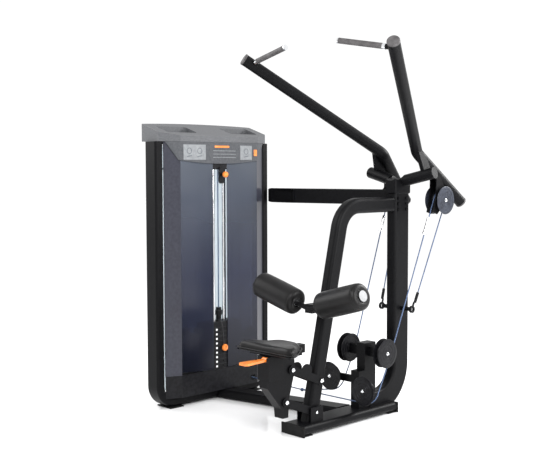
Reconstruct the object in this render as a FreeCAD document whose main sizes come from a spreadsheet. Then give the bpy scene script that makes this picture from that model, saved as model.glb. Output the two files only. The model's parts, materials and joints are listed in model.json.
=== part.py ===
import FreeCAD, Part
import math
import os

from FreeCAD import Placement, Rotation, Vector

doc = FreeCAD.newDocument("pulldown_machine")
sheet = doc.addObject("Spreadsheet::Sheet", "Sizes")

# Driving dimensions in millimetres and degrees.
SIZES = {
    "beam_wide": 150, "beam_tall": 48, "floor_gap": 6, "wall": 3,
    "link_wide": 110, "tube_outer": 61, "hub_outer": 62, "axle_radius": 17.5,
    "running_gap": 0.05, "column_wide": 62, "column_deep": 125, "column_bend": 187.5,
    "post_wide": 60, "post_deep": 80, "post_bend": 140, "top_beam_wide": 50, "top_beam_tall": 83,
    "leg_deep": 100, "leg_wide": 50, "leg_bend": 95, "tower_half": 385, "tower_top": 1448,
    "panel_thick": 4, "slot_wide": 102, "plate_tall": 25.4, "plate_pitch": 25.9,
    "plate_wide": 300, "plate_deep": 76, "rod_radius": 12.5, "rod_spacing": 80, "rod_length": 1250,
    "stem_radius": 10, "pin_radius": 4.7, "cable_radius": 3.2, "groove_radius": 50,
    "rim_radius": 56, "pulley_wide": 24, "cover_radius": 75, "cover_thick": 4, "cover_spacing": 78,
    "axle_bolt": 6, "grip_radius": 14, "grip_bar": 9, "roller_radius": 67.5, "roller_core": 22,
    "roller_bar": 12.5, "seat_thick": 42, "link_thick": 6, "link_eye": 22,
    "link_pin": 7, "carriage_half": 28,
}
for row, (alias, size) in enumerate(SIZES.items(), start=1):
    sheet.set(f"A{row}", alias)
    sheet.set(f"B{row}", str(size))
    sheet.setAlias(f"B{row}", alias)
doc.recompute()


def size_of(alias):
    return float(sheet.get(alias))


WALL = size_of("wall")
CABLE = size_of("cable_radius")
GROOVE = size_of("groove_radius")

# Every place below is measured from the floor point under the pivot head. The finished
# parts are moved so that the origin is the middle of the main beam's rear pad instead.
PAD_MIDDLE = Vector(0, -125, 0)

# The tower stands to the user's left; the weight stack hangs inside it.
TOWER_Y = -580.0
LEG_X = -887.5
PANEL_X = -795.0
STACK = Vector(-838, -560, 0)
PLATE_TOP = 401.0
LIFTED_PLATES = 5
ALL_PLATES = 12

# Each arm turns about its own axle, which rises outward from the column head.
HEAD = Vector(0, 0, 1226)
AXLE = Vector(0.962, 0.14, 0.23).normalize()
ARM_TIP = Vector(499, -658, 1871)
ARM_BEND = Vector(117, 12, 1383)
ARM_TAIL = Vector(190, 305, 1118)
ARM_PULLEY = Vector(158, 160, 1130)
LOWER_PULLEY = Vector(125, -255, 347)
TURN_PULLEY_RIGHT = Vector(90, -371, 163)
TURN_PULLEY_LEFT = Vector(-150, -362, 206)
ANCHOR = Vector(110, -6, 548)
LOW_TOWER_PULLEY = Vector(-868, -330, 140)
TOP_PULLEY_Z = 1372.0
STACK_CABLE_TOP = 1360.0
CABLE_YOKE = Vector(-360, -372, 96)

# Four-bar seat carrier: rear pivots on the post, front pivots on the carriage.
UPPER_REAR = Vector(0, -641, 251)
UPPER_FRONT = Vector(0, -842, 334)
LOWER_REAR = Vector(0, -683, 99)
LOWER_FRONT = Vector(0, -884, 182)

X = Vector(1, 0, 0)
Y = Vector(0, 1, 0)
Z = Vector(0, 0, 1)


def flip(point):
    """The mirror image of a point across the middle plane."""
    return Vector(-point.x, point.y, point.z)


def cylinder(name, radius, height, start, direction):
    """A round bar whose radius and height are sheet formulas."""
    item = doc.addObject("Part::Cylinder", name)
    item.setExpression("Radius", radius)
    item.setExpression("Height", height)
    item.Placement = Placement(start, Rotation(Z, direction))
    return item


def union(name, items):
    item = doc.addObject("Part::MultiFuse", name)
    item.Shapes = items
    return item


def subtract(name, base, tool):
    item = doc.addObject("Part::Cut", name)
    item.Base = base
    item.Tool = tool
    return item


def solid(name, shape):
    """A sub-part whose outline has no matching primitive."""
    item = doc.addObject("Part::Feature", name)
    item.Shape = shape.removeSplitter() if shape.ShapeType != "Solid" else shape
    return item


def route(points, radii):
    """Straight runs through the points, with an arc of the given radius at each inner one."""
    edges = []
    here = points[0]
    for corner, after, radius in zip(points[1:-1], points[2:], radii):
        back = (here - corner).normalize()
        ahead = (after - corner).normalize()
        half = back.getAngle(ahead) / 2
        reach = radius / math.tan(half)
        start = corner + back * reach
        end = corner + ahead * reach
        middle_line = (back + ahead).normalize()
        middle = corner + middle_line * (radius / math.sin(half) - radius)
        edges.append(Part.makeLine(here, start))
        edges.append(Part.Arc(start, middle, end).toShape())
        here = end
    edges.append(Part.makeLine(here, points[-1]))
    return Part.Wire(edges)


def ring(start, direction, radius):
    return Part.Wire(Part.Circle(start, direction, radius).toShape())


def rounded(start, direction, side, wide, tall, corner):
    """A rounded rectangle across a direction; wide runs along side."""
    shape = Part.makePlane(wide, tall, Vector(-wide / 2, -tall / 2, 0))
    box = shape.extrude(Vector(0, 0, 1))
    upright = [edge for edge in box.Edges if abs(edge.tangentAt(edge.FirstParameter).z) > 0.9]
    face = [f for f in box.makeFillet(corner, upright).Faces if f.normalAt(0, 0).z < -0.9][0]
    wire = face.OuterWire.copy()
    up = direction.cross(side)
    turn = Rotation(side, up, direction, "ZXY")
    wire.Placement = Placement(start, turn).multiply(wire.Placement)
    return wire


def swept(spine, profile):
    return spine.makePipeShell([profile], True, False)


def round_bar(points, radii, radius):
    direction = (points[1] - points[0]).normalize()
    return swept(route(points, radii), ring(points[0], direction, radius))


def box_tube(points, radii, side, wide, tall, corner, wall):
    """A rounded rectangular tube along a flat route whose normal is side."""
    direction = (points[1] - points[0]).normalize()
    spine = route(points, radii)
    outside = swept(spine, rounded(points[0], direction, side, wide, tall, corner))
    thin = rounded(points[0], direction, side, wide - 2 * wall, tall - 2 * wall, corner - wall)
    return outside.cut(swept(spine, thin))


def slab(low, high):
    """A plain box between two corners."""
    span = high - low
    return Part.makeBox(span.x, span.y, span.z, low)


def base_main_beam():
    wide = size_of("beam_wide")
    tall = size_of("beam_tall")
    centre = size_of("floor_gap") + tall / 2
    points = [Vector(0, -795, centre), Vector(0, -95, centre)]
    return solid("base_main_beam", box_tube(points, [], X, wide, tall, 20, WALL))


def base_link_beam():
    wide = size_of("link_wide")
    tall = size_of("beam_tall")
    centre = size_of("floor_gap") + tall / 2
    points = [Vector(0, -339, centre), Vector(-900, -531, centre)]
    direction = (points[1] - points[0]).normalize()
    side = direction.cross(Z).normalize()
    tube = box_tube(points, [], side, wide, tall, 12, WALL)
    reach = slab(Vector(-837, -800, 0), Vector(-75.2, 0, 60))
    return solid("base_link_beam", tube.common(reach))


def base_feet():
    """Rubber end caps of the main beam and pads under the tower."""
    gap = size_of("floor_gap")
    tall = size_of("beam_tall")
    feet = []
    for low, high, pad_low, pad_high in ((-809, -795, -795, -735), (-95, -81, -155, -95)):
        cap = slab(Vector(-78, low, 0), Vector(78, high, gap + tall))
        edges = [edge for edge in cap.Edges if edge.Length > 50 or abs(edge.tangentAt(0).z) > 0.9]
        cap = cap.makeFillet(5, edges)
        feet.append(cap.fuse(slab(Vector(-70, pad_low, 0), Vector(70, pad_high, gap))))
    for side in (-1, 1):
        middle = TOWER_Y + side * 290
        pad = slab(Vector(-945, middle - 45, 0), Vector(-825, middle + 45, gap))
        feet.append(pad)
    return solid("base_feet", Part.makeCompound(feet))


def tower_frame():
    """A tube bent into a U, with a foot plate under it."""
    half = size_of("tower_half")
    top = size_of("tower_top")
    low = size_of("floor_gap") + size_of("leg_wide") / 2
    bend = size_of("leg_bend")
    points = [
        Vector(LEG_X, TOWER_Y + half, top), Vector(LEG_X, TOWER_Y + half, low),
        Vector(LEG_X, TOWER_Y - half, low), Vector(LEG_X, TOWER_Y - half, top),
    ]
    deep = size_of("leg_deep")
    frame = box_tube(points, [bend, bend], X, deep, size_of("leg_wide"), 14, WALL)
    return solid("tower_frame", frame)


def upright_column():
    """The column, its forward-bent foot and the stub bar that the cables end on."""
    bend = size_of("column_bend")
    points = [Vector(0, 0, 1165), Vector(0, 0, 62.5), Vector(0, -262, 62.5)]
    outline = [X, size_of("column_wide"), size_of("column_deep"), 16, WALL]
    tube = box_tube(points, [bend], *outline)
    beam_top = size_of("floor_gap") + size_of("beam_tall")
    tube = tube.cut(slab(Vector(-90, -300, 0), Vector(90, -80, beam_top)))
    stub = Part.makeCylinder(11, 192, Vector(-96, ANCHOR.y, ANCHOR.z), X)
    inner = Part.makeBox(56, 119, 60, Vector(-28, -59.5, ANCHOR.z - 30))
    return solid("upright_column", tube.fuse(stub.cut(inner)))


def lean_post():
    """The leaning post, bent level at the top, with a plate at each side of its foot."""
    bend = size_of("post_bend")
    lean = Vector(0, 215, 936).normalize()
    start = Vector(0, -690, 54) - lean * 30
    corner = start + lean * ((1110 - start.z) / lean.z)
    points = [start, corner, Vector(0, -63, 1110)]
    tube = box_tube(points, [bend], X, size_of("post_wide"), size_of("post_deep"), 20, WALL)
    beam_top = size_of("floor_gap") + size_of("beam_tall")
    tube = tube.cut(slab(Vector(-60, -760, 0), Vector(60, -600, beam_top)))
    plates = []
    for x in (-49, 43):
        plates.append(slab(Vector(x, -725, beam_top), Vector(x + 6, -640, 128)))
    bridge = slab(Vector(-49, -658, beam_top), Vector(49, -640, 110))
    return solid("lean_post", tube.multiFuse(plates + [bridge]))


def top_beam():
    wide = size_of("top_beam_wide")
    tall = size_of("top_beam_tall")
    points = [Vector(10, 0, 1146.5), Vector(-900, -210, 1146.5)]
    direction = (points[1] - points[0]).normalize()
    side = direction.cross(Z).normalize()
    tube = box_tube(points, [], side, wide, tall, 8, WALL)
    leg_side = TOWER_Y + size_of("tower_half") + size_of("leg_wide") / 2
    tube = tube.common(slab(Vector(-930, leg_side, 1000), Vector(-31, 100, 1300)))
    tube = tube.cut(slab(Vector(-36.3, -70, 1164.7), Vector(0, 70, 1200)))
    return solid("top_beam", tube)


def pivot_head():
    """A cast saddle on the column with the two fixed arm axles, and the bolts beside it."""
    saddle = slab(Vector(-36, -66, 1165), Vector(36, 66, 1247))
    saddle = saddle.makeFillet(9, saddle.Edges)
    shape = saddle
    for way in (AXLE, flip(AXLE)):
        start = HEAD + way * 10
        shape = shape.fuse(Part.makeCylinder(size_of("axle_radius"), 214, start, way))
        shape = shape.fuse(Part.makeCylinder(26, 36, start, way))
    dish = Part.makeCylinder(40, 200, Vector(0, -100, 1276), Y)
    side = size_of("column_wide") / 2
    bolts = []
    for z in (1082, 1112, 1142):
        bolts += [Part.makeCylinder(9, 7, Vector(side, y, z), X) for y in (-34, 34)]
    return solid("pivot_head", Part.makeCompound([shape.cut(dish)] + bolts))


def arm_shape(mirror):
    """Bent tube, rotating hub tube, gusset and the fork that holds the arm pulley."""
    outer = size_of("tube_outer") / 2
    tube = round_bar([ARM_TIP, ARM_BEND, ARM_TAIL], [70], outer)
    hollow = round_bar([ARM_TIP, ARM_BEND, ARM_TAIL], [70], outer - WALL)
    hub_start = HEAD + AXLE * 50
    hub = Part.makeCylinder(size_of("hub_outer") / 2, 178, hub_start, AXLE)
    bore_radius = size_of("axle_radius") + size_of("running_gap")
    bore = Part.makeCylinder(bore_radius, 175.5, hub_start, AXLE)
    grip_start = ARM_TIP + (ARM_BEND - ARM_TIP).normalize() * 40
    socket = Part.makeCylinder(13, 46, grip_start, grip_way())
    cheeks, axle = fork()
    shape = tube.multiFuse([hub, gusset(), socket] + cheeks)
    shape = shape.cut(bore).cut(hollow).fuse(axle)
    if mirror:
        shape = shape.mirror(Vector(0, 0, 0), X)
    return shape


def gusset():
    """Thick web between the hub tube and the arm tube behind it."""
    upper = ARM_BEND + (ARM_TIP - ARM_BEND).normalize() * 70
    lower = ARM_BEND + (ARM_TAIL - ARM_BEND).normalize() * 175
    hub = HEAD + AXLE * 168
    along = (lower - upper).normalize()
    half = along.cross(hub - upper).normalize() * 11
    outline = [upper, lower, hub + along * 25, hub - along * 25, upper]
    web = Part.Face(Part.makePolygon(outline)).extrude(half * 2)
    web.translate(-half)
    return web


def grip_way():
    return (Vector(163, -651, 1896) - Vector(450, -608, 1843)).normalize()


def fork():
    """Two cheeks from the arm tube down past the pulley axle to a lug, and the axle."""
    cheeks = []
    for side in (-1, 1):
        x = ARM_PULLEY.x + side * 20 - 2.5
        outline = [
            Vector(x, ARM_PULLEY.y - 58, ARM_PULLEY.z + 150),
            Vector(x, ARM_PULLEY.y + 6, ARM_PULLEY.z + 100),
            Vector(x, ARM_PULLEY.y + 24, ARM_PULLEY.z + 10),
            Vector(x, ARM_PULLEY.y + 8, ARM_PULLEY.z - 24),
            Vector(x, ARM_PULLEY.y - 50, ARM_PULLEY.z - 74),
            Vector(x, ARM_PULLEY.y - 88, ARM_PULLEY.z - 62),
            Vector(x, ARM_PULLEY.y - 62, ARM_PULLEY.z + 10),
        ]
        outline.append(outline[0])
        cheek = Part.Face(Part.makePolygon(outline)).extrude(Vector(5, 0, 0))
        cheeks.append(cheek)
    axle = Part.makeCylinder(size_of("axle_bolt"), 88, ARM_PULLEY - X * 44, X)
    return cheeks, axle


def arm(name, mirror):
    return solid(name, arm_shape(mirror))


def arm_disc(name, mirror):
    """The two round covers beside an arm pulley."""
    spacing = size_of("cover_spacing")
    thick = size_of("cover_thick")
    centre = flip(ARM_PULLEY) if mirror else ARM_PULLEY
    parts = []
    for index, offset in enumerate((-spacing / 2 - thick, spacing / 2)):
        start = centre + X * offset
        disc = cylinder(f"{name}_disc_{index}", "Sizes.cover_radius", "Sizes.cover_thick", start, X)
        hole = cylinder(f"{name}_hole_{index}", "Sizes.axle_bolt", "Sizes.cover_thick", start, X)
        parts.append(subtract(f"{name}_plate_{index}", disc, hole))
    return union(name, parts)


def pulley(name, centre, axis, mirror=False):
    """A grooved wheel that runs on a fixed bolt."""
    bore = size_of("axle_bolt") + size_of("running_gap")
    rim = size_of("rim_radius")
    half = size_of("pulley_wide") / 2
    mouth = CABLE + 6.8
    corners = [
        Vector(GROOVE, 0, mouth), Vector(rim, 0, mouth), Vector(rim, 0, half), Vector(bore, 0, half),
        Vector(bore, 0, -half), Vector(rim, 0, -half), Vector(rim, 0, -mouth), Vector(GROOVE, 0, -mouth),
    ]
    edges = [Part.makeLine(a, b) for a, b in zip(corners[:-1], corners[1:])]
    edges.append(Part.Arc(corners[-1], Vector(GROOVE - CABLE - 1.2, 0, 0), corners[0]).toShape())
    wheel = Part.Face(Part.Wire(edges)).revolve(Vector(0, 0, 0), Z, 360)
    wheel.Placement = Placement(centre, Rotation(Z, axis))
    if mirror:
        wheel = wheel.mirror(Vector(0, 0, 0), X)
    return solid(name, wheel)


def handle_bar(name, mirror):
    """A chrome bar that carries the grip."""
    way = grip_way()
    grip_start = ARM_TIP + (ARM_BEND - ARM_TIP).normalize() * 40
    start = grip_start + way * 46
    bar = Part.makeCylinder(size_of("grip_bar"), 262, start, way)
    collar = Part.makeCylinder(14.5, 16, start, way)
    knob = Part.makeCylinder(14.5, 8, start + way * 262, way)
    shape = bar.multiFuse([collar, knob])
    if mirror:
        shape = shape.mirror(Vector(0, 0, 0), X)
    return solid(name, shape)


def hand_grip(name, mirror):
    """Rubber grip sleeve with the rubber plugs in both ends of the arm tube."""
    way = grip_way()
    grip_start = ARM_TIP + (ARM_BEND - ARM_TIP).normalize() * 40
    start = grip_start + way * 62
    sleeve = Part.makeCylinder(size_of("grip_radius"), 246, start, way)
    sleeve = sleeve.cut(Part.makeCylinder(size_of("grip_bar"), 246, start, way))
    radius = size_of("tube_outer") / 2
    plugs = []
    for end, inner in ((ARM_TIP, ARM_BEND), (ARM_TAIL, ARM_BEND)):
        out = (end - inner).normalize()
        plug = Part.makeCylinder(radius + 1, 10, end, out)
        plug = plug.makeFillet(5, [plug.Edges[0]])
        plugs.append(plug.fuse(Part.makeCylinder(radius - WALL, 14, end - out * 14, out)))
    shape = Part.makeCompound([sleeve] + plugs)
    if mirror:
        shape = shape.mirror(Vector(0, 0, 0), X)
    return solid(name, shape)


def fall_angle():
    """Lean of the front fall, which crosses from the arm pulley's front to the lower one's rear."""
    span = ARM_PULLEY - LOWER_PULLEY
    distance = math.hypot(span.y, span.z)
    return math.atan2(span.y, span.z) - math.asin(2 * GROOVE / distance)


def front_top():
    lean = fall_angle()
    return ARM_PULLEY + Vector(0, -math.cos(lean), math.sin(lean)) * GROOVE


def front_bottom():
    lean = fall_angle()
    return LOWER_PULLEY + Vector(0, math.cos(lean), -math.sin(lean)) * GROOVE


def rear_top():
    """Where the rear fall touches the back of the arm pulley."""
    span = ARM_PULLEY - ANCHOR
    distance = math.hypot(span.y, span.z)
    lean = math.atan2(span.y, span.z) + math.asin(GROOVE / distance)
    return ARM_PULLEY + Vector(0, math.cos(lean), -math.sin(lean)) * GROOVE


def report_length(name, length):
    print(f"{name}: length {length:.1f} mm, bend radius {GROOVE:.1f} mm")


def swept_cord(points, radii):
    """A cable along straight runs and pulley-sized turns, as one solid, with its length."""
    spine = route(points, radii)
    direction = (points[1] - points[0]).normalize()
    return swept(spine, ring(points[0], direction, CABLE)), spine.Length


def front_cable(name, mirror):
    """Cable over the arm pulley and down to the lower pulley, whole."""
    up = rear_way()
    down = (front_bottom() - front_top()).normalize()
    turn = up.getAngle(down) / 4
    reach = GROOVE * math.tan(turn)
    start = rear_top() - up * 2
    first = rear_top() + up * reach
    last = front_top() - down * reach
    shape, length = swept_cord([start, first, last, front_bottom() - down * 10.4], [GROOVE, GROOVE])
    report_length(name, length)
    if mirror:
        shape = shape.mirror(Vector(0, 0, 0), X)
    return solid(name, shape)


def cable_sleeve(name, mirror):
    """Chrome sleeve with an end collar around the front fall, below the fork's lug."""
    down = (front_bottom() - front_top()).normalize()
    start = front_top() + down * 118
    sleeve = Part.makeCylinder(9, 84, start, down)
    collar = Part.makeCylinder(11.5, 12, start + down * 84, down)
    shape = sleeve.fuse(collar).cut(Part.makeCylinder(CABLE, 100, start - down * 2, down))
    if mirror:
        shape = shape.mirror(Vector(0, 0, 0), X)
    return solid(name, shape)


def rear_way():
    return (rear_top() - ANCHOR).normalize()


def rear_cable(name, mirror):
    """Straight fall from its end fitting up to the back of the arm pulley."""
    way = rear_way()
    start = ANCHOR + way * 96
    length = (rear_top() - start).Length - 6
    shape = Part.makeCylinder(CABLE, length, start, way)
    print(f"{name}: length {length:.1f} mm, straight")
    if mirror:
        shape = shape.mirror(Vector(0, 0, 0), X)
    return solid(name, shape)


def anchor_eye(name, mirror):
    """Eye around the stub bar with a long adjusting barrel."""
    way = rear_way()
    eye = Part.makeCylinder(19, 12, ANCHOR - X * 6 - X * 6, X)
    pin = Part.makeCylinder(11.05, 12, ANCHOR - X * 12, X)
    neck = Part.makeCylinder(5.5, 26, ANCHOR - X * 6 + way * 14, way)
    barrel = Part.makeCylinder(8, 58, ANCHOR + way * 38, way)
    shape = eye.multiFuse([neck, barrel]).cut(pin)
    shape = shape.cut(Part.makeCylinder(CABLE, 10, ANCHOR + way * 96, way))
    if mirror:
        shape = shape.mirror(Vector(0, 0, 0), X)
    return solid(name, shape)


def pulley_bracket():
    """Welded bracket on the base that carries the four lower pulleys."""
    parts = [
        slab(Vector(-28, -300, 125.3), Vector(28, -215, 392)),
        slab(Vector(-28, -346, 54.3), Vector(28, -266, 250)),
        slab(Vector(-102, -272, 322), Vector(102, -238, 372)),
        slab(Vector(0, -346, 145), Vector(90, -334, 180)),
        slab(Vector(-150, -346, 186), Vector(0, -334, 224)),
        Part.makeCylinder(24, 12, Vector(90, -346, 163), Y),
        Part.makeCylinder(24, 12, Vector(-150, -346, 206), Y),
    ]
    bolt = size_of("axle_bolt")
    for x in (-1, 1):
        start = Vector(x * 100, LOWER_PULLEY.y, LOWER_PULLEY.z)
        parts.append(Part.makeCylinder(bolt, 48, start, X * x))
        parts.append(Part.makeCylinder(17, 12.5, start, X * x))
    for centre in (TURN_PULLEY_RIGHT, TURN_PULLEY_LEFT):
        back = Vector(centre.x, -336, centre.z)
        parts.append(Part.makeCylinder(bolt, back.y - centre.y + 22, back, -Y))
        parts.append(Part.makeCylinder(17, back.y - centre.y - 12.5, back, -Y))
    shape = parts[0].multiFuse(parts[1:])
    shape = shape.cut(slab(Vector(-23, -295, 120), Vector(23, -274, 387)))
    shape = shape.cut(slab(Vector(-23, -236, 120), Vector(23, -220, 387)))
    shape = shape.cut(slab(Vector(-23, -330, 50), Vector(23, -300, 244)))
    return solid("pulley_bracket", shape)


def pulley_covers():
    """Round covers over the lower pulleys and the rounded guard inside the tower."""
    covers = []
    thick = size_of("cover_thick")
    radius = size_of("cover_radius")
    bolt = size_of("axle_bolt")
    for way in (-1, 1):
        for offset in (-20, 16):
            start = Vector(way * LOWER_PULLEY.x + offset, LOWER_PULLEY.y, LOWER_PULLEY.z)
            disc = Part.makeCylinder(radius, thick, start, X)
            hole = 17 if way * offset < 0 else bolt
            covers.append(disc.cut(Part.makeCylinder(hole, thick, start, X)))
    for centre in (TURN_PULLEY_RIGHT, TURN_PULLEY_LEFT):
        start = centre - Y * 16
        disc = Part.makeCylinder(radius, thick, start, -Y)
        covers.append(disc.cut(Part.makeCylinder(bolt, thick, start, -Y)))
    guard = Part.makeCylinder(56, 4, Vector(-809, -352, 340), X)
    guard = guard.fuse(slab(Vector(-809, -408, 60), Vector(-805, -296, 340)))
    covers.append(guard.cut(cable_gap()))
    return solid("pulley_covers", Part.makeCompound(covers))


def cable_gap():
    """Room for the base cable where it enters the tower."""
    return slab(Vector(-860, -350, 76), Vector(-780, -318, 106))


def tower_way():
    """Level direction of the base cable as it reaches the tower."""
    way = LOW_TOWER_PULLEY - CABLE_YOKE
    way.z = 0
    return way.normalize()


def top_way():
    """Level direction from the rising cable to the stack's centre."""
    rise = LOW_TOWER_PULLEY + tower_way() * GROOVE
    way = STACK - rise
    way.z = 0
    return way.normalize()


def top_pulley_centres():
    rise = LOW_TOWER_PULLEY + tower_way() * GROOVE
    first = rise + top_way() * GROOVE
    first.z = TOP_PULLEY_Z
    second = STACK - top_way() * GROOVE
    second.z = TOP_PULLEY_Z
    return first, second


def wrap_corner(touch, inward, target):
    """Corner between the run into a pulley and the run that leaves it towards target."""
    corner = touch
    for _ in range(8):
        turn = inward.getAngle(target - corner)
        corner = touch + inward * (GROOVE * math.tan(turn / 2))
    return corner


def base_cable():
    """Cables from both lower pulleys to a yoke, and one from it up the tower, each whole."""
    shapes = [Part.makeSphere(10, CABLE_YOKE)]
    for mirror, turn in ((False, TURN_PULLEY_RIGHT), (True, TURN_PULLEY_LEFT)):
        touch = front_bottom()
        inward = (front_bottom() - front_top()).normalize()
        if mirror:
            touch = flip(touch)
            inward = flip(inward)
        below = turn + (X - Z) * 63
        corner = wrap_corner(touch, inward, below)
        away = (CABLE_YOKE - below).normalize()
        points = [touch - inward * 10, corner, below, CABLE_YOKE - away * 10.3]
        shape, length = swept_cord(points, [GROOVE, GROOVE])
        report_length("base_cable branch", length)
        shapes.append(shape)
    rise = LOW_TOWER_PULLEY + tower_way() * GROOVE
    low = rise - Z * GROOVE
    high = Vector(rise.x, rise.y, TOP_PULLEY_Z + GROOVE)
    over = Vector(STACK.x, STACK.y, TOP_PULLEY_Z + GROOVE)
    end = Vector(STACK.x, STACK.y, STACK_CABLE_TOP + 0.4)
    away = (low - CABLE_YOKE).normalize()
    points = [CABLE_YOKE + away * 10.3, low, high, over, end]
    shape, length = swept_cord(points, [GROOVE, GROOVE, GROOVE])
    report_length("base_cable tower run", length)
    shapes.append(shape)
    return solid("base_cable", Part.makeCompound(shapes))


def turned(shape, place, way):
    """Move a shape drawn with its length along X to lie along a level direction."""
    angle = math.degrees(math.atan2(way.y, way.x))
    shape.Placement = Placement(place, Rotation(Z, angle)).multiply(shape.Placement)
    return shape


def hanger(height):
    """Two cheeks and an axle for one tower pulley; a negative height goes down."""
    low, high = sorted((height, -math.copysign(16, height)))
    cheeks = [slab(Vector(-15, y, low), Vector(15, y + 4, high)) for y in (-17, 13)]
    axle = Part.makeCylinder(size_of("axle_bolt"), 34, Vector(0, -17, 0), Y)
    return cheeks[0].multiFuse([cheeks[1], axle])


def stack_mounts():
    """Bottom block, the plates that hold the rods and the hangers of the tower pulleys."""
    half = size_of("rod_spacing") / 2
    radius = size_of("rod_radius")
    deep = size_of("plate_deep")
    base_low = size_of("floor_gap") + size_of("leg_wide")
    bottom_plate = PLATE_TOP - (ALL_PLATES - 1) * size_of("plate_pitch") - size_of("plate_tall") / 2
    low = Vector(STACK.x - deep / 2, STACK.y - 130, base_low)
    high = Vector(STACK.x + deep / 2 - 2, STACK.y + 130, bottom_plate)
    pit = Part.makeCylinder(14, 60, Vector(STACK.x, STACK.y, 96), Z)
    rod_plate = slab(Vector(-860, -939, 1298), Vector(-816, -221, 1306))
    corners = [slab(Vector(-860, y, 1200), Vector(-816, y + 200, 1400)) for y in (-1065, -295)]
    rod_plate = rod_plate.cut(corners[0]).cut(corners[1])
    arms = [slab(Vector(-930, y, 1298), Vector(-846, y + 74, 1306)) for y in (-939, -295)]
    top = slab(Vector(-925, -939, 1434), Vector(-846, -221, 1444))
    shape = slab(low, high).cut(pit).multiFuse([rod_plate, top] + arms)
    for side in (-1, 1):
        hole = Vector(STACK.x, STACK.y + side * half, 0)
        shape = shape.cut(Part.makeCylinder(radius, 1500, hole, Z))
    shape = shape.cut(Part.makeCylinder(8, 60, Vector(STACK.x, STACK.y, 1280), Z))
    rise = LOW_TOWER_PULLEY + tower_way() * GROOVE
    shape = shape.cut(Part.makeCylinder(8, 60, Vector(rise.x, rise.y, 1280), Z))
    first, second = top_pulley_centres()
    parts = [turned(hanger(1434 - TOP_PULLEY_Z), centre, top_way()) for centre in (first, second)]
    parts.append(turned(hanger(base_low - LOW_TOWER_PULLEY.z), LOW_TOWER_PULLEY, tower_way()))
    return solid("stack_mounts", shape.multiFuse(parts))


def guide_rods():
    base_low = size_of("floor_gap") + size_of("leg_wide")
    rods = []
    for side, name in ((-1, "near"), (1, "far")):
        start = Vector(STACK.x, STACK.y + side * size_of("rod_spacing") / 2, base_low)
        rods.append(cylinder(f"guide_rod_{name}", "Sizes.rod_radius", "Sizes.rod_length", start, Z))
    return union("guide_rods", rods)


def weight_plate(index):
    """One plate of the stack with holes for the stem, the rods and the pin."""
    tall = size_of("plate_tall")
    deep = size_of("plate_deep")
    wide = size_of("plate_wide")
    centre = PLATE_TOP - index * size_of("plate_pitch")
    low = Vector(STACK.x - deep / 2, STACK.y - wide / 2, centre - tall / 2)
    plate = slab(low, low + Vector(deep, wide, tall))
    edges = [edge for edge in plate.Edges if abs(edge.tangentAt(0).z) > 0.9]
    plate = plate.makeFillet(6, edges)
    holes = [Part.makeCylinder(size_of("stem_radius") + 1, tall, Vector(STACK.x, STACK.y, low.z), Z)]
    for side in (-1, 1):
        place = Vector(STACK.x, STACK.y + side * size_of("rod_spacing") / 2, low.z)
        holes.append(Part.makeCylinder(size_of("rod_radius") + 1, tall, place, Z))
    pin_hole = size_of("pin_radius") + 0.35
    holes.append(Part.makeCylinder(pin_hole, 60, Vector(STACK.x, STACK.y, centre), X))
    return plate.cut(holes[0].multiFuse(holes[1:]))


def resting_plates():
    plates = [weight_plate(index) for index in range(LIFTED_PLATES, ALL_PLATES)]
    return solid("resting_plates", Part.makeCompound(plates))


def lifted_stack():
    """Head plate with its stem and the plates above the selector pin."""
    half_tall = size_of("plate_tall") / 2
    head_low = PLATE_TOP + half_tall + 0.5
    deep = size_of("plate_deep")
    wide = size_of("plate_wide")
    head = slab(
        Vector(STACK.x - deep / 2, STACK.y - wide / 2 + 20, head_low),
        Vector(STACK.x + deep / 2, STACK.y + wide / 2 - 20, 445),
    )
    for side in (-1, 1):
        place = Vector(STACK.x, STACK.y + side * size_of("rod_spacing") / 2, head_low)
        head = head.cut(Part.makeCylinder(size_of("rod_radius") + 1, 100, place, Z))
    stem_low = 100
    stem = Part.makeCylinder(size_of("stem_radius"), 445 - stem_low, Vector(STACK.x, STACK.y, stem_low), Z)
    neck = Part.makeCylinder(15, 75, Vector(STACK.x, STACK.y, 445), Z)
    nut = Part.makeCylinder(20, 26, Vector(STACK.x, STACK.y, 478), Z)
    pin_z = PLATE_TOP - (LIFTED_PLATES - 1) * size_of("plate_pitch")
    pin_hole = Part.makeCylinder(size_of("pin_radius") + 0.35, 40, Vector(STACK.x - 3, STACK.y, pin_z), X)
    top = head.multiFuse([stem, neck, nut]).cut(pin_hole)
    plates = [weight_plate(index) for index in range(LIFTED_PLATES)]
    return solid("lifted_stack", Part.makeCompound([top] + plates))


def side_weights():
    """Stepped block of small extra weights beside the stack."""
    lower = slab(Vector(-880, -862, 57), Vector(-806, -728, 392))
    upper = slab(Vector(-868, -832, 392), Vector(-818, -780, 424))
    return solid("side_weights", lower.fuse(upper))


def pin_height():
    return PLATE_TOP - (LIFTED_PLATES - 1) * size_of("plate_pitch")


def selector_pin():
    """Pin with a ring-shaped knob."""
    start = Vector(STACK.x + 0.5, STACK.y, pin_height())
    shaft = cylinder("pin_shaft", "Sizes.pin_radius", "50", start, X)
    knob = cylinder("pin_knob", "19", "16", start + X * 44, X)
    dimple = cylinder("pin_dimple", "9", "4", start + X * 56, X)
    return subtract("selector_pin", union("pin_blank", [shaft, knob]), dimple)


def pin_lanyard():
    """Thin cord from the head plate to the pin's knob."""
    start = Vector(STACK.x + 26, STACK.y - 32, 445.3)
    end = Vector(STACK.x + 50, STACK.y - 4, pin_height() + 19.6)
    points = [start, start + Vector(8, 3, 8), end + Vector(2, -4, 34), end]
    curve = Part.BSplineCurve()
    curve.interpolate(points)
    edge = curve.toShape()
    profile = ring(start, edge.tangentAt(edge.FirstParameter), 1.6)
    print(f"pin_lanyard: length {edge.Length:.1f} mm")
    return solid("pin_lanyard", Part.Wire([edge]).makePipeShell([profile], True, True))


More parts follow.
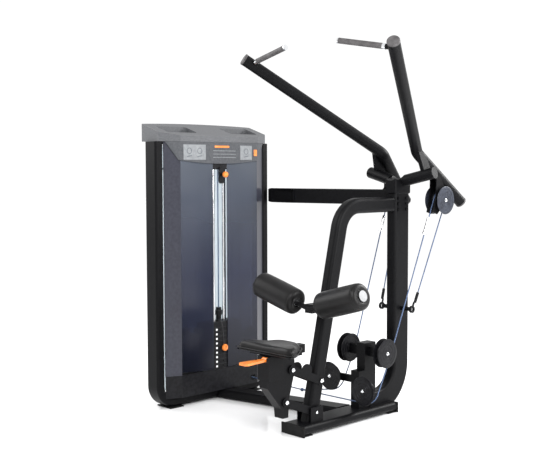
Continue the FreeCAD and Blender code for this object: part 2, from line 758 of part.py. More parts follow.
def stack_cable():
    start = Vector(STACK.x, STACK.y, 520)
    length = STACK_CABLE_TOP - 520
    print(f"stack_cable: length {length:.1f} mm, straight")
    return cylinder("stack_cable", "Sizes.cable_radius", str(length), start, Z)


def tower_outline(offset, half_front, half_back):
    """Plan points of the front face: level middle with both sides slanting back."""
    return [
        Vector(PANEL_X - 42 + offset, TOWER_Y - half_back, 0),
        Vector(PANEL_X + offset, TOWER_Y - half_front, 0),
        Vector(PANEL_X + offset, TOWER_Y + half_front, 0),
        Vector(PANEL_X - 42 + offset, TOWER_Y + half_back, 0),
    ]


def folded_sheet(points, thick, low, high):
    """A sheet folded along plan points, thick towards the rear."""
    back = [point - X * thick for point in reversed(points)]
    face = Part.Face(Part.makePolygon(points + back + [points[0]]))
    face.translate(Vector(0, 0, low))
    return face.extrude(Vector(0, 0, high - low))


def tower_panels():
    """Tinted front sheet with the slot for the pin, and the plain rear sheet."""
    half = 278
    points = tower_outline(0, half, 359)[1:3]
    sheet_shape = folded_sheet(points, size_of("panel_thick"), 180, 1360)
    slot = size_of("slot_wide") / 2
    gap = slab(Vector(PANEL_X - 20, TOWER_Y - slot, 170), Vector(PANEL_X + 5, TOWER_Y + slot, 1300))
    rear = slab(Vector(-942, TOWER_Y - 358, 78), Vector(-938, TOWER_Y + 358, 1430))
    return solid("tower_panels", Part.makeCompound([sheet_shape.cut(gap), rear]))


def tower_side_strips():
    """Dark strips that slant back from the front panel to the legs."""
    points = tower_outline(0, 278.4, 359)
    strips = [
        folded_sheet(points[:2], size_of("panel_thick"), 180, 1446),
        folded_sheet(points[2:], size_of("panel_thick"), 180, 1446),
    ]
    return solid("tower_side_strips", Part.makeCompound(strips))


def tower_kick_panel():
    """Lower front cover, with the knob's bracket as its twin at the top of the slot."""
    panel = folded_sheet(tower_outline(0, 278, 359), 5, 57, 179.5).cut(cable_gap())
    panel = panel.cut(slab(Vector(-860, -1000, 0), Vector(-837.3, -100, 200)))
    bracket = slab(Vector(PANEL_X + 0.2, -592, 1220), Vector(PANEL_X + 10, -556, 1312))
    edges = [edge for edge in bracket.Edges if abs(edge.tangentAt(0).x) > 0.9]
    bracket = bracket.makeFillet(14, edges)
    boss = Part.makeCylinder(9, 14, Vector(PANEL_X + 10, -575, 1270), X)
    bore = Part.makeCylinder(5.05, 24, Vector(PANEL_X + 2, -575, 1270), X)
    return solid("tower_kick_panel", Part.makeCompound([panel, bracket.fuse(boss).cut(bore)]))


def top_knob():
    start = Vector(PANEL_X + 3, -575, 1270)
    stem = cylinder("knob_stem", "5", "30", start, X)
    head = cylinder("knob_head", "17", "24", start + X * 24, X)
    return union("top_knob", [stem, head])


def top_cap():
    """Moulded cap that rises towards the rear, with two trays."""
    front = [Vector(-845, -972, 0), Vector(-787, -862, 0), Vector(-787, -298, 0), Vector(-845, -188, 0)]
    back = [Vector(-985, -188, 0), Vector(-1012, TOWER_Y, 0), Vector(-985, -972, 0)]
    edges = [Part.makeLine(a, b) for a, b in zip(front[:-1], front[1:])]
    edges.append(Part.makeLine(front[-1], back[0]))
    edges.append(Part.Arc(*back).toShape())
    edges.append(Part.makeLine(back[-1], front[0]))
    outline = Part.Face(Part.Wire(edges))
    outline.translate(Vector(0, 0, 1449))
    shape = outline.extrude(Vector(0, 0, 120))
    slope = Part.makeBox(400, 1000, 200, Vector(-400, -500, 0))
    slope.rotate(Vector(0, 0, 0), Y, 18)
    slope.translate(Vector(-783, TOWER_Y, 1480))
    shape = shape.cut(slope)
    for side in (-1, 1):
        middle = TOWER_Y + side * 225
        tray = slab(Vector(-950, middle - 105, 1478), Vector(-840, middle + 105, 1600))
        shape = shape.cut(tray.makeFillet(18, tray.Edges))
    under = slab(Vector(-972, TOWER_Y - 372, 1440), Vector(-850, TOWER_Y + 372, 1470))
    return solid("top_cap", shape.cut(under))


def placard():
    """Printed plate that folds round the front below the cap."""
    sheet_shape = folded_sheet(tower_outline(7, 280.5, 361), 5, 1330, 1448)
    for side in (-1, 1):
        wedge = Part.Face(Part.makePolygon([
            Vector(-900, TOWER_Y + side * 366, 1449), Vector(-900, TOWER_Y + side * 366, 1320),
            Vector(-900, TOWER_Y + side * 280, 1320), Vector(-900, TOWER_Y + side * 366, 1449),
        ])).extrude(Vector(200, 0, 0))
        sheet_shape = sheet_shape.cut(wedge)
    return solid("placard", sheet_shape)


def roller_line():
    inner = Vector(80, -689, 632)
    outer = Vector(349, -692, 707)
    return inner, outer, (outer - inner).normalize()


def roller_bar():
    """V-shaped bar for both rollers, welded to a stub on the post."""
    inner, outer, way = roller_line()
    centre = inner - way * (inner.x / way.x)
    centre.x = 0
    tip = outer - way * 6
    bar = round_bar([flip(tip), centre, tip], [50], size_of("roller_bar"))
    stub = slab(Vector(-24, centre.y - 6, 590), Vector(24, -560, 634))
    lean = Vector(0, 215, 936).normalize()
    low = Vector(0, -690, 54)
    profile = rounded(low, lean, X, size_of("post_wide"), size_of("post_deep"), 20)
    post = swept(route([low, low + lean * 900], []), profile)
    return solid("roller_bar", bar.fuse(stub).cut(post))


def thigh_roller(name, mirror):
    """Soft roller with rounded ends."""
    inner, outer, way = roller_line()
    length = (outer - inner).Length
    foam = Part.makeCylinder(size_of("roller_radius"), length, inner, way)
    foam = foam.makeFillet(18, [edge for edge in foam.Edges if edge.Closed])
    foam = foam.cut(Part.makeCylinder(size_of("roller_core"), length, inner, way))
    if mirror:
        foam = foam.mirror(Vector(0, 0, 0), X)
    return solid(name, foam)


def roller_hub(name, mirror):
    """Plain bearing tube of a roller, closed outside by a bright cap."""
    inner, outer, way = roller_line()
    length = (outer - inner).Length
    core = Part.makeCylinder(size_of("roller_core"), length, inner, way)
    cap = Part.makeCylinder(27, 5, outer, way)
    bore_radius = size_of("roller_bar") + size_of("running_gap")
    bore = Part.makeCylinder(bore_radius, length - 2, inner, way)
    shape = core.fuse(cap).cut(bore)
    if mirror:
        shape = shape.mirror(Vector(0, 0, 0), X)
    return solid(name, shape)


def seat_pad():
    """Padded seat, wide at the back and rounded to a nose."""
    outline = [
        (-190, -1000), (-150, -1014), (150, -1014), (190, -1000), (192, -960),
        (70, -806), (-70, -806), (-192, -960),
    ]
    points = [Vector(x, y, 428) for x, y in outline]
    face = Part.Face(Part.makePolygon(points + [points[0]]))
    pad = face.extrude(Vector(0, 0, size_of("seat_thick")))
    upright = [edge for edge in pad.Edges if abs(edge.tangentAt(0).z) > 0.9]
    sharp = [edge for edge in upright if abs(edge.valueAt(0).x) < 160 and edge.valueAt(0).y > -900]
    pad = pad.makeFillet(45, sharp)
    top = [edge for edge in pad.Edges if edge.BoundBox.ZMin > 469]
    return solid("seat_pad", pad.makeFillet(10, top))


def side_pins(pivots, radius, half):
    return [Part.makeCylinder(radius, 2 * half, pivot - X * half, X) for pivot in pivots]


def seat_carriage():
    """Upright carrier under the seat, with a pad plate and the lever's bracket."""
    half = size_of("carriage_half")
    outline = [
        (-1000, 418), (-1000, 265), (-905, 150), (-900, 104), (-862, 104),
        (-858, 190), (-816, 330), (-822, 418),
    ]
    points = [Vector(-half, y, z) for y, z in outline]
    body = Part.Face(Part.makePolygon(points + [points[0]])).extrude(Vector(2 * half, 0, 0))
    plate = slab(Vector(-110, -985, 418), Vector(110, -850, 428))
    rear = slab(Vector(-40, -1000, 300), Vector(40, -905, 418))
    nose = slab(Vector(-22, -860, 404), Vector(22, -740, 418))
    nose = nose.fuse(slab(Vector(-22, -790, 404), Vector(22, -740, 446)))
    lugs = [slab(Vector(x, -1026, 396), Vector(x + 4, -990, 418)) for x in (8, 48)]
    pin = Part.makeCylinder(5, 46, Vector(7, -1014, 407), X)
    shape = body.multiFuse([plate, rear, nose, pin] + lugs)
    shape = shape.cut(slab(Vector(-23, -992, 290), Vector(23, -905, 412)))
    holes = side_pins([UPPER_FRONT, LOWER_FRONT], size_of("link_pin") + size_of("running_gap"), half + 20)
    return solid("seat_carriage", shape.cut(holes[0].fuse(holes[1])))


def seat_lever():
    """Orange paddle that frees the seat."""
    hub = Part.makeCylinder(11, 34, Vector(13, -1014, 407), X)
    outline = [(17, -1018), (43, -1018), (58, -1150), (50, -1162), (10, -1162), (2, -1150)]
    points = [Vector(x, y, 400) for x, y in outline]
    paddle = Part.Face(Part.makePolygon(points + [points[0]])).extrude(Vector(0, 0, 11))
    bore = Part.makeCylinder(5.05, 60, Vector(0, -1014, 407), X)
    return solid("seat_lever", hub.fuse(paddle).cut(bore))


def seat_link(name, rear, front, lobe):
    """Two link plates with the pins through their ends."""
    eye = size_of("link_eye")
    thick = size_of("link_thick")
    inner = size_of("post_wide") / 2 + 1
    way = (front - rear).normalize()
    across = X.cross(way) * eye * 0.85
    parts = []
    for x in (-inner - thick, inner):
        loop = [rear - across, front - across, front + across, rear + across, rear - across]
        bar = Part.Face(Part.makePolygon(loop)).extrude(X * thick)
        bar.translate(X * x)
        parts.append(bar)
        for end in (rear, front):
            parts.append(Part.makeCylinder(eye, thick, end + X * x, X))
        if lobe:
            middle = (rear + front) * 0.5 + Z * 22
            parts.append(Part.makeCylinder(34, thick, middle + X * x, X))
    half = inner + thick
    parts += side_pins([rear, front], size_of("link_pin"), half)
    for x in (-half - 5, half):
        parts += [Part.makeCylinder(11, 5, pivot + X * x, X) for pivot in (rear, front)]
    return solid(name, parts[0].multiFuse(parts[1:]))


def drill_pivots(post):
    """Holes in the post for the rear pins of both links."""
    radius = size_of("link_pin") + size_of("running_gap")
    holes = side_pins([UPPER_REAR, LOWER_REAR], radius, 70)
    post.Shape = post.Shape.cut(holes[0].fuse(holes[1]))


def build_frame():
    post = lean_post()
    drill_pivots(post)
    return [
        base_main_beam(), base_link_beam(), base_feet(), tower_frame(), upright_column(), post,
        top_beam(), pivot_head(), pulley_bracket(), pulley_covers(), base_cable(), roller_bar(),
        stack_mounts(), guide_rods(), resting_plates(), side_weights(), tower_panels(),
        tower_side_strips(), tower_kick_panel(), top_cap(), placard(), stack_cable(),
    ]


def build_arms():
    items = []
    for side, mirror in (("right", False), ("left", True)):
        items.append(arm(f"arm_{side}", mirror))
        items.append(arm_disc(f"arm_disc_{side}", mirror))
        items.append(handle_bar(f"handle_bar_{side}", mirror))
        items.append(hand_grip(f"hand_grip_{side}", mirror))
        items.append(pulley(f"arm_pulley_{side}", ARM_PULLEY, X, mirror))
        items.append(front_cable(f"front_cable_{side}", mirror))
        items.append(cable_sleeve(f"cable_sleeve_{side}", mirror))
        items.append(rear_cable(f"rear_cable_{side}", mirror))
        items.append(anchor_eye(f"anchor_eye_{side}", mirror))
        items.append(thigh_roller(f"thigh_roller_{side}", mirror))
        items.append(roller_hub(f"roller_hub_{side}", mirror))
        items.append(pulley(f"lower_pulley_{side}", LOWER_PULLEY, X, mirror))
    return items


def build_pulleys():
    first, second = top_pulley_centres()
    low_axis = Z.cross(tower_way())
    top_axis = Z.cross(top_way())
    return [
        pulley("turn_pulley_right", TURN_PULLEY_RIGHT, Y), pulley("turn_pulley_left", TURN_PULLEY_LEFT, Y),
        pulley("tower_low_pulley", LOW_TOWER_PULLEY, low_axis), pulley("tower_top_pulley_1", first, top_axis),
        pulley("tower_top_pulley_2", second, top_axis),
    ]


def build_seat():
    return [
        seat_pad(), seat_carriage(), seat_lever(),
        seat_link("seat_link_upper", UPPER_REAR, UPPER_FRONT, True),
        seat_link("seat_link_lower", LOWER_REAR, LOWER_FRONT, False),
    ]


def build_stack():
    return [lifted_stack(), selector_pin(), pin_lanyard(), top_knob()]


items = build_frame() + build_arms() + build_pulleys() + build_seat() + build_stack()
doc.recompute()
os.makedirs("parts", exist_ok=True)
for item in items:
    if "Invalid" in item.State or "Error" in item.State:
        raise RuntimeError(f"{item.Name} did not compute")
    if item.Shape.isNull() or not item.Shape.isValid():
        raise RuntimeError(f"{item.Name} has a bad shape")
    item.Label = item.Name
    item.Placement.Base = item.Placement.Base - PAD_MIDDLE
doc.recompute()
for item in items:
    item.Shape.exportStep(f"parts/{item.Name}.step")
print(len(items), "sub-parts")
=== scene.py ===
import json
import math

import bmesh
import bpy
from mathutils import Matrix, Vector, noise


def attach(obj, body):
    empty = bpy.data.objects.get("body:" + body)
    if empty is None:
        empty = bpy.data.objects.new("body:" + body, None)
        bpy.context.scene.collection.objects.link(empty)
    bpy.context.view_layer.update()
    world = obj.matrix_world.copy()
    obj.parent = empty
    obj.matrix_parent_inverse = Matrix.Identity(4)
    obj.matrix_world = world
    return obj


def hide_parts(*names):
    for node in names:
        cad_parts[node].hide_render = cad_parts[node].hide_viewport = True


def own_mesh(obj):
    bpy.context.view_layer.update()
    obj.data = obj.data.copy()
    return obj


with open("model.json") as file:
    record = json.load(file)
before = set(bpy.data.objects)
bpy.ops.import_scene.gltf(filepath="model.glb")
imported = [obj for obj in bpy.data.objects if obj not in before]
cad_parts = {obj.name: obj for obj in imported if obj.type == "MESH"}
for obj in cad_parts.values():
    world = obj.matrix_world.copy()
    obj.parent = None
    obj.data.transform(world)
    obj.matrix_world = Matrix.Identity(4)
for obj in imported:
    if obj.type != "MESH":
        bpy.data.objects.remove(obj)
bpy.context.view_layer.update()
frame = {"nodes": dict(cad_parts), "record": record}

X = Vector((1, 0, 0))
Y = Vector((0, 1, 0))
Z = Vector((0, 0, 1))

# Places of the parts in metres, measured from the floor point under the pivot head, which
# stands this far along Y in the CAD frame. Every piece is moved there when its mesh is made.
HEAD_FOOT = Vector((0, 0.125, 0))

TOWER_Y = -0.580
PANEL_X = -0.795
STACK = Vector((-0.838, -0.560, 0))
PLATE_TOP = 0.401
PLATE_PITCH = 0.0259
LIFTED_PLATES = 5
ALL_PLATES = 12
ARM_PULLEY = Vector((0.158, 0.160, 1.130))
LOWER_PULLEY = Vector((0.125, -0.255, 0.347))
TURN_PULLEYS = (Vector((0.090, -0.371, 0.163)), Vector((-0.150, -0.362, 0.206)))
CABLE = 0.0032
ROLLER_INNER = Vector((0.080, -0.689, 0.632))
ROLLER_OUTER = Vector((0.349, -0.692, 0.707))
UPPER_REAR = Vector((0, -0.641, 0.251))
UPPER_FRONT = Vector((0, -0.842, 0.334))
LOWER_REAR = Vector((0, -0.683, 0.099))
LOWER_FRONT = Vector((0, -0.884, 0.182))


# ---------- materials ----------

class Nodes:
    """A short way to build a node material around one Principled shader."""

    def __init__(self, name):
        self.material = bpy.data.materials.new(name)
        self.material.use_nodes = True
        self.tree = self.material.node_tree
        self.shader = self.tree.nodes["Principled BSDF"]
        self.output = self.tree.nodes["Material Output"]

    def node(self, kind, **settings):
        made = self.tree.nodes.new(kind)
        for key, value in settings.items():
            setattr(made, key, value)
        return made

    def link(self, source, target):
        self.tree.links.new(source, target)

    def noise(self, scale, detail=4.0, stretch=(1, 1, 1)):
        place = self.node("ShaderNodeTexCoord")
        mapping = self.node("ShaderNodeMapping")
        mapping.inputs["Scale"].default_value = stretch
        texture = self.node("ShaderNodeTexNoise")
        texture.inputs["Scale"].default_value = scale
        texture.inputs["Detail"].default_value = detail
        self.link(place.outputs["Object"], mapping.inputs["Vector"])
        self.link(mapping.outputs["Vector"], texture.inputs["Vector"])
        return texture.outputs["Fac"]

    def ramp(self, value, low, high, start=0.35, end=0.65):
        ramp = self.node("ShaderNodeValToRGB")
        ramp.color_ramp.elements[0].position = start
        ramp.color_ramp.elements[1].position = end
        ramp.color_ramp.elements[0].color = (*low, 1)
        ramp.color_ramp.elements[1].color = (*high, 1)
        self.link(value, ramp.inputs["Fac"])
        return ramp.outputs["Color"]

    def mottle(self, value, low, high, start=0.35, end=0.65):
        """Base colour that drifts between two tones."""
        self.link(self.ramp(value, low, high, start, end), self.shader.inputs["Base Color"])

    def spread(self, value, low, high):
        span = self.node("ShaderNodeMapRange")
        span.inputs["To Min"].default_value = low
        span.inputs["To Max"].default_value = high
        self.link(value, span.inputs["Value"])
        return span.outputs["Result"]

    def bump(self, height, strength, distance):
        bump = self.node("ShaderNodeBump")
        bump.inputs["Strength"].default_value = strength
        bump.inputs["Distance"].default_value = distance
        self.link(height, bump.inputs["Height"])
        self.link(bump.outputs["Normal"], self.shader.inputs["Normal"])

    def paint_edge_highlights(self, colour, edge_highlight_colour, radius, amount):
        """Lightens sharp edges with a painted highlight."""
        bevel = self.node("ShaderNodeBevel", samples=4)
        bevel.inputs["Radius"].default_value = radius
        geometry = self.node("ShaderNodeNewGeometry")
        dot = self.node("ShaderNodeVectorMath", operation="DOT_PRODUCT")
        self.link(bevel.outputs["Normal"], dot.inputs[0])
        self.link(geometry.outputs["Normal"], dot.inputs[1])
        edge = self.node("ShaderNodeMapRange")
        edge.inputs["From Min"].default_value = 0.98
        edge.inputs["From Max"].default_value = 0.80
        edge.inputs["To Max"].default_value = amount
        self.link(dot.outputs["Value"], edge.inputs["Value"])
        mix = self.node("ShaderNodeMix", data_type="RGBA")
        mix.inputs["B"].default_value = (*edge_highlight_colour, 1)
        self.link(edge.outputs["Result"], mix.inputs["Factor"])
        self.link(colour, mix.inputs["A"])
        return mix.outputs["Result"]


# How strongly the dark surfaces reflect, lower than the usual 0.5 to keep them deep black.
SHINE = {
    "powder_black": 0.10, "rubber_black": 0.12, "strip_dark": 0.25, "placard_grey": 0.25,
    "iron_black": 0.15, "pulley_black": 0.16, "cover_blue_grey": 0.30, "cap_grey": 0.30,
}


def surface(name, low, high, rough, metallic=0.0, grain=60, bump=0.1, depth=0.0004, edge_highlight_colour=None, coat=0.0):
    """A coated, moulded or bare surface with mottled colour, uneven gloss and fine grain."""
    made = Nodes(name)
    broad = made.noise(grain * 0.12, 3)
    fine = made.noise(grain, 6)
    colour = made.ramp(broad, low, high)
    if edge_highlight_colour:
        # painted highlight: sharp edges are lightened towards a paler colour
        colour = made.paint_edge_highlights(colour, edge_highlight_colour, 0.002, 0.5)
    made.link(colour, made.shader.inputs["Base Color"])
    made.link(made.spread(broad, rough - 0.05, rough + 0.07), made.shader.inputs["Roughness"])
    made.shader.inputs["Metallic"].default_value = metallic
    made.shader.inputs["Specular IOR Level"].default_value = SHINE.get(name, 0.5)
    made.shader.inputs["Coat Weight"].default_value = coat
    made.shader.inputs["Coat Roughness"].default_value = 0.12
    made.bump(fine, bump, depth)
    return made.material


def tinted_acrylic():
    """Smoked sheet with painted shade: darker towards the bottom, paler towards the top."""
    made = Nodes("tinted_acrylic")
    geometry = made.node("ShaderNodeNewGeometry")
    parts = made.node("ShaderNodeSeparateXYZ")
    made.link(geometry.outputs["Position"], parts.inputs["Vector"])
    height = made.node("ShaderNodeMapRange")
    height.inputs["From Min"].default_value = 0.15
    height.inputs["From Max"].default_value = 1.40
    made.link(parts.outputs["Z"], height.inputs["Value"])
    # painted shade: the colour darkens towards the bottom of the sheet and pales towards the top
    painted_height_shade = made.node("ShaderNodeValToRGB")
    painted_height_shade.color_ramp.elements[0].color = (0.006, 0.007, 0.013, 1)
    painted_height_shade.color_ramp.elements[1].color = (0.120, 0.135, 0.160, 1)
    middle = painted_height_shade.color_ramp.elements.new(0.45)
    middle.color = (0.034, 0.038, 0.064, 1)
    made.link(height.outputs["Result"], painted_height_shade.inputs["Fac"])
    made.link(painted_height_shade.outputs["Color"], made.shader.inputs["Base Color"])
    made.shader.inputs["Roughness"].default_value = 0.16
    clear = made.node("ShaderNodeBsdfTransparent")
    clear.inputs["Color"].default_value = (0.22, 0.24, 0.32, 1)
    mix = made.node("ShaderNodeMixShader")
    cloud = made.spread(made.noise(2.5, 2), 0.52, 0.60)
    made.link(cloud, mix.inputs["Fac"])
    made.link(clear.outputs["BSDF"], mix.inputs[1])
    made.link(made.shader.outputs["BSDF"], mix.inputs[2])
    made.link(mix.outputs["Shader"], made.output.inputs["Surface"])
    made.bump(made.noise(180, 2), 0.02, 0.0002)
    return made.material


def frosted_acrylic():
    """Pale rear sheet that lets soft light into the tower."""
    made = Nodes("frosted_acrylic")
    made.mottle(made.noise(3, 2), (0.80, 0.84, 0.86), (0.90, 0.93, 0.94))
    made.shader.inputs["Roughness"].default_value = 0.45
    glow = made.node("ShaderNodeBsdfTranslucent")
    glow.inputs["Color"].default_value = (0.90, 0.95, 0.98, 1)
    mix = made.node("ShaderNodeMixShader")
    mix.inputs["Fac"].default_value = 0.65
    made.link(made.shader.outputs["BSDF"], mix.inputs[1])
    made.link(glow.outputs["BSDF"], mix.inputs[2])
    made.link(mix.outputs["Shader"], made.output.inputs["Surface"])
    made.bump(made.noise(260, 3), 0.05, 0.0002)
    return made.material


def vinyl():
    """Upholstery vinyl with a pebbled grain."""
    made = Nodes("black_vinyl")
    place = made.node("ShaderNodeTexCoord")
    cells = made.node("ShaderNodeTexVoronoi", feature="DISTANCE_TO_EDGE")
    cells.inputs["Scale"].default_value = 420
    made.link(place.outputs["Object"], cells.inputs["Vector"])
    broad = made.noise(9, 4)
    made.mottle(broad, (0.0040, 0.0038, 0.0040), (0.0085, 0.0080, 0.0082))
    made.link(made.spread(broad, 0.30, 0.42), made.shader.inputs["Roughness"])
    made.shader.inputs["Specular IOR Level"].default_value = 0.16
    made.shader.inputs["Sheen Weight"].default_value = 0.03
    made.bump(cells.outputs["Distance"], 0.25, 0.0006)
    return made.material


def braided(name, low, high):
    """Coated steel cable with its strands showing."""
    made = Nodes(name)
    place = made.node("ShaderNodeTexCoord")
    wave = made.node("ShaderNodeTexWave", bands_direction="DIAGONAL")
    wave.inputs["Scale"].default_value = 260
    made.link(place.outputs["Object"], wave.inputs["Vector"])
    made.mottle(wave.outputs["Fac"], low, high, 0.2, 0.8)
    made.shader.inputs["Roughness"].default_value = 0.35
    made.shader.inputs["Metallic"].default_value = 0.3
    made.bump(wave.outputs["Fac"], 0.3, 0.0004)
    return made.material


def ribbed_rubber():
    """Grip rubber with moulded rings and a dusty bloom."""
    made = Nodes("ribbed_rubber")
    place = made.node("ShaderNodeTexCoord")
    wave = made.node("ShaderNodeTexWave", bands_direction="X")
    wave.inputs["Scale"].default_value = 42
    made.link(place.outputs["Object"], wave.inputs["Vector"])
    made.mottle(made.noise(30, 4), (0.040, 0.037, 0.038), (0.085, 0.080, 0.082))
    made.shader.inputs["Roughness"].default_value = 0.62
    made.bump(wave.outputs["Fac"], 0.35, 0.0008)
    return made.material


BLACK_LOW = (0.0022, 0.0022, 0.0027)
BLACK_HIGH = (0.0042, 0.0042, 0.0050)
# the last colour given to powder_black, cap_grey and iron_black is their painted edge highlight
MATERIALS = {
    "powder_black": surface(
        "powder_black", BLACK_LOW, BLACK_HIGH, 0.42, 0.0, 900, 0.10, 0.0003, (0.022, 0.022, 0.024),
    ),
    "rubber_black": surface(
        "rubber_black", (0.005, 0.005, 0.005), (0.010, 0.010, 0.010), 0.66, 0.0, 350, 0.2,
    ),
    "cap_grey": surface(
        "cap_grey", (0.070, 0.072, 0.078), (0.100, 0.103, 0.110), 0.50, 0.0, 1200, 0.25, 0.0003,
        (0.22, 0.22, 0.23),
    ),
    "strip_dark": surface(
        "strip_dark", (0.022, 0.023, 0.034), (0.030, 0.031, 0.044), 0.30, 0.0, 500, 0.04, 0.0002, None, 0.3,
    ),
    "tinted_sheet": tinted_acrylic(),
    "placard_grey": surface(
        "placard_grey", (0.045, 0.048, 0.054), (0.065, 0.068, 0.075), 0.42, 0.0, 800, 0.05,
    ),
    "chrome_bright": surface(
        "chrome_bright", (0.74, 0.75, 0.77), (0.86, 0.87, 0.88), 0.13, 1.0, 220, 0.03, 0.0002,
    ),
    "iron_black": surface(
        "iron_black", (0.004, 0.004, 0.005), (0.010, 0.010, 0.011), 0.48, 0.1, 260, 0.25, 0.0005,
        (0.10, 0.10, 0.10),
    ),
    "pulley_black": surface(
        "pulley_black", (0.005, 0.005, 0.006), (0.010, 0.010, 0.012), 0.32, 0.0, 500, 0.08,
    ),
    "cover_blue_grey": surface(
        "cover_blue_grey", (0.020, 0.023, 0.032), (0.034, 0.039, 0.054), 0.28, 0.0, 400, 0.05,
    ),
    "grip_rubber": ribbed_rubber(),
    "seat_vinyl": vinyl(),
    "orange_plastic": surface(
        "orange_plastic", (0.66, 0.17, 0.020), (0.80, 0.24, 0.035), 0.33, 0.0, 300, 0.05, 0.0003, None, 0.3,
    ),
    "cable_dark": braided("cable_dark", (0.020, 0.035, 0.080), (0.090, 0.140, 0.260)),
    "cord_black": braided("cord_black", (0.010, 0.010, 0.012), (0.040, 0.040, 0.045)),
}
FROSTED = frosted_acrylic()
LABEL = surface("label_white", (0.70, 0.71, 0.72), (0.82, 0.83, 0.84), 0.5, 0.0, 400, 0.03)
PICTURE = surface("picture_grey", (0.15, 0.16, 0.17), (0.20, 0.21, 0.22), 0.5, 0.0, 400, 0.03)
INK = surface("ink_dark", (0.06, 0.07, 0.08), (0.09, 0.10, 0.11), 0.5, 0.0, 400, 0.03)


def paint_nodes():
    """Every CAD node gets the node material of its slot."""
    for entry in frame["record"]["subparts"]:
        mesh = frame["nodes"][entry["node"]].data
        mesh.materials.clear()
        mesh.materials.append(MATERIALS[entry["material_slot"]])


# ---------- mesh helpers ----------

def finish_mesh(name, mesh, material, body, smooth_angle=35):
    """Turns a bmesh into a shaded piece that rides on a CAD body."""
    bmesh.ops.recalc_face_normals(mesh, faces=mesh.faces)
    mesh.transform(Matrix.Translation(HEAD_FOOT))
    data = bpy.data.meshes.new(name)
    mesh.to_mesh(data)
    mesh.free()
    piece = bpy.data.objects.new(name, data)
    bpy.context.scene.collection.objects.link(piece)
    data.materials.append(material)
    data.shade_smooth()
    data.set_sharp_from_angle(angle=math.radians(smooth_angle))
    if body:
        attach(piece, body)
    return piece


def frame_of(axis):
    """Rotation that takes +Z to an axis."""
    return Vector(axis).to_track_quat("Z", "Y").to_matrix().to_4x4()


def lathe(mesh, profile, centre, axis, steps=64, closed=False):
    """Turns (radius, height) points about an axis through centre."""
    place = Matrix.Translation(centre) @ frame_of(axis)
    rings = []
    for radius, height in profile:
        if radius < 1e-6:
            rings.append([mesh.verts.new(place @ Vector((0, 0, height)))])
            continue
        ring = []
        for step in range(steps):
            angle = 2 * math.pi * step / steps
            spot = Vector((radius * math.cos(angle), radius * math.sin(angle), height))
            ring.append(mesh.verts.new(place @ spot))
        rings.append(ring)
    pairs = list(zip(rings[:-1], rings[1:]))
    if closed:
        pairs.append((rings[-1], rings[0]))
    for low, high in pairs:
        for step in range(steps):
            after = step + 1
            corners = [
                low[step % len(low)], low[after % len(low)],
                high[after % len(high)], high[step % len(high)],
            ]
            unique = list(dict.fromkeys(corners))
            if len(unique) > 2:
                mesh.faces.new(unique)


def plate(mesh, points, thick, direction):
    """A flat plate from an outline, thick along a direction."""
    lower = [mesh.verts.new(point) for point in points]
    upper = [mesh.verts.new(point + direction * thick) for point in points]
    mesh.faces.new(lower[::-1])
    mesh.faces.new(upper)
    for index in range(len(points)):
        after = (index + 1) % len(points)
        mesh.faces.new([lower[index], lower[after], upper[after], upper[index]])


def soften(piece, width, segments=3):
    """Rounds the edges of a piece."""
    bevel = piece.modifiers.new("bevel", "BEVEL")
    bevel.width = width
    bevel.segments = segments
    bevel.limit_method = "ANGLE"
    bevel.angle_limit = math.radians(35)
    return piece


def mirrored(point, way):
    """The same place on the right (1) or left (-1) side."""
    return Vector((way * point.x, point.y, point.z))


# ---------- covers and bolts ----------

COVER_PROFILE = [
    (0.0, 0.0), (0.075, 0.0), (0.0755, 0.0012), (0.0740, 0.0030), (0.0700, 0.0040), (0.0600, 0.0041),
    (0.0590, 0.0030), (0.0560, 0.0030), (0.0550, 0.0042), (0.0430, 0.0043), (0.0420, 0.0032),
    (0.0395, 0.0032), (0.0385, 0.0044), (0.0270, 0.0045), (0.0260, 0.0034), (0.0240, 0.0034),
    (0.0230, 0.0046), (0.0150, 0.0048), (0.0140, 0.0020), (0.0, 0.0020),
]
BOLT_PROFILE = [
    (0.0, 0.0), (0.0095, 0.0), (0.0095, 0.0016), (0.0070, 0.0022), (0.0070, 0.0058),
    (0.0050, 0.0080), (0.0, 0.0088),
]


COVER_REACH = 0.0155
ARM_COVER_REACH = 0.039
GUARD = Vector((-0.809, -0.352, 0.340))
GUARD_RADIUS = 0.056
GUARD_FOOT = 0.110


def disc(name, centre, axis, material, body, bolt=True):
    """A stepped round cover with raised rings and a bolt in its middle."""
    mesh = bmesh.new()
    lathe(mesh, COVER_PROFILE, centre, axis, 96)
    cover = finish_mesh(name, mesh, material, body, 25)
    if bolt:
        add_bolt(f"{name}_bolt", centre + axis * 0.002, axis, body)
    return cover


def add_bolt(name, centre, axis, body, scale=1.0):
    """A domed bolt head on a washer."""
    mesh = bmesh.new()
    lathe(mesh, [(radius * scale, height * scale) for radius, height in BOLT_PROFILE], centre, axis, 24)
    piece = finish_mesh(name, mesh, MATERIALS["chrome_bright"], body)
    return piece


